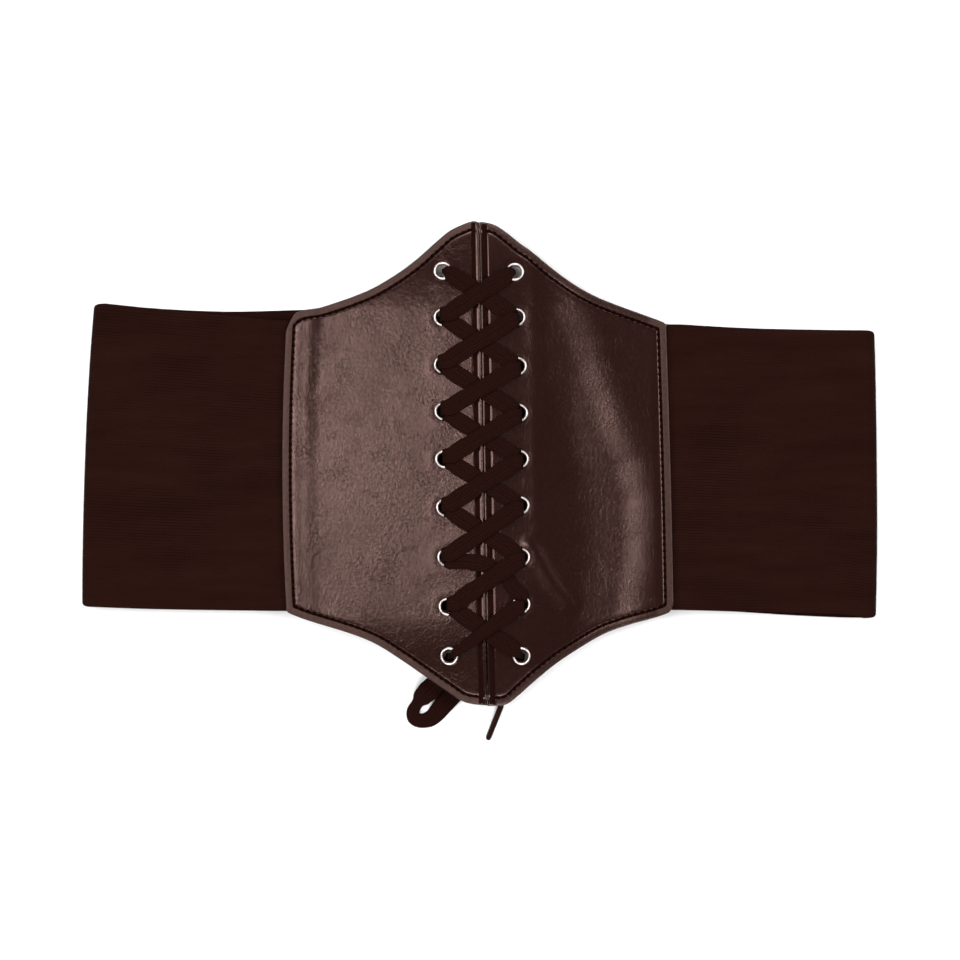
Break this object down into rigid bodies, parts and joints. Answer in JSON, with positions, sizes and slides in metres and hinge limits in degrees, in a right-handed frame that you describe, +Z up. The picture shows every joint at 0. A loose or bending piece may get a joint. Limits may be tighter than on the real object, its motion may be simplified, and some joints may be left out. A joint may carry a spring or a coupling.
{
  "type": "corset belt",
  "caption": "Wide elastic waist belt with a pointed two-panel leather front, drawn together by a flat lace crossed through metal eyelets; lying flat on its back.",
  "frame": {"origin": "middle of the belt on the surface that it lies on", "axes": "+X to the right from fold to fold, +Y to the top of the laced edge, +Z up from the surface through the front"},
  "size_m": [0.3278, 0.2127, 0.0149],
  "materials": {
    "leather": "dark brown coated leather, satin, fine crinkled grain",
    "elastic": "dark brown ribbed elastic webbing, matt",
    "lace_cord": "dark brown flat woven lace",
    "eyelet_metal": "polished nickel",
    "tip_plastic": "dark clear tip over the lace"
  },
  "bodies": {
    "root": {"panel_left": "leather", "panel_right": "leather", "eyelet_left_1": "eyelet_metal", "eyelet_left_2": "eyelet_metal", "eyelet_left_3": "eyelet_metal", "eyelet_left_4": "eyelet_metal", "eyelet_left_5": "eyelet_metal", "eyelet_left_6": "eyelet_metal", "eyelet_left_7": "eyelet_metal", "eyelet_left_8": "eyelet_metal", "eyelet_left_9": "eyelet_metal", "eyelet_right_1": "eyelet_metal", "eyelet_right_2": "eyelet_metal", "eyelet_right_3": "eyelet_metal", "eyelet_right_4": "eyelet_metal", "eyelet_right_5": "eyelet_metal", "eyelet_right_6": "eyelet_metal", "eyelet_right_7": "eyelet_metal", "eyelet_right_8": "eyelet_metal", "eyelet_right_9": "eyelet_metal", "band": "elastic", "lace": "lace_cord", "lace_tail_left": "lace_cord", "lace_tail_right": "lace_cord", "aglet_left": "tip_plastic", "aglet_right": "tip_plastic"}
  },
  "joints": []
}
